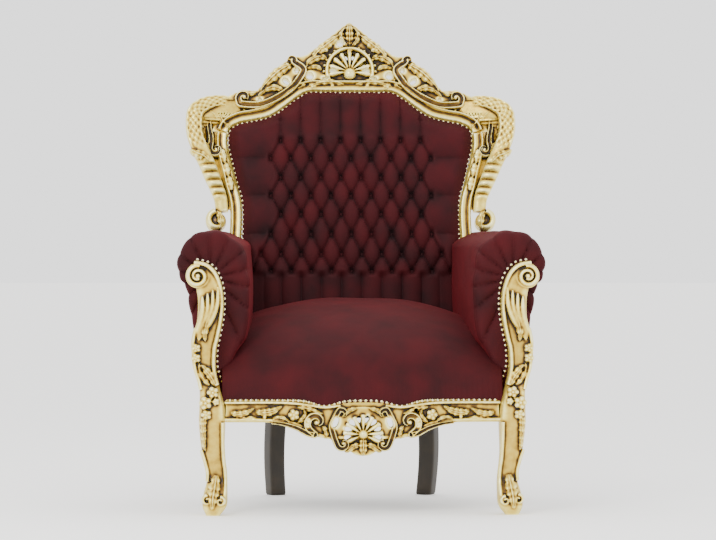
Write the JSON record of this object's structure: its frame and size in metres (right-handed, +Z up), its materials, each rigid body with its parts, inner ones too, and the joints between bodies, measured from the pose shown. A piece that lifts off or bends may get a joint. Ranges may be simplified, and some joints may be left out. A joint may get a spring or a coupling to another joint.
{
  "type": "throne chair",
  "caption": "Carved gilt throne chair with pierced shell cresting, carved wings, buttoned velvet back, rolled arms and cabriole front legs.",
  "frame": {"origin": "on the floor under the middle of the chair's outer box", "axes": "+Z up, +Y towards the back of the chair, +X to the right for someone who faces its front"},
  "size_m": [0.8536, 0.7878, 1.1843],
  "materials": {
    "gilt": "gold leaf over carved wood, rubbed bright on the high places and brown in the hollows",
    "velvet": "dark crimson velvet with a soft sheen",
    "dark_wood": "dark olive-brown stained wood, worn satin",
    "nails": "polished domed upholstery nails"
  },
  "bodies": {
    "root": {"crest_rail": "gilt", "stile_right": "gilt", "stile_left": "gilt", "wing_right": "gilt", "wing_left": "gilt", "front_rail": "gilt", "front_post_right": "gilt", "front_post_left": "gilt", "side_rail_right": "gilt", "side_rail_left": "gilt", "rear_rail": "dark_wood", "rear_leg_right": "dark_wood", "rear_leg_left": "dark_wood", "back_pad": "velvet", "outside_back": "velvet", "arm_pad_right": "velvet", "arm_pad_left": "velvet", "seat_pad": "velvet"}
  },
  "joints": []
}
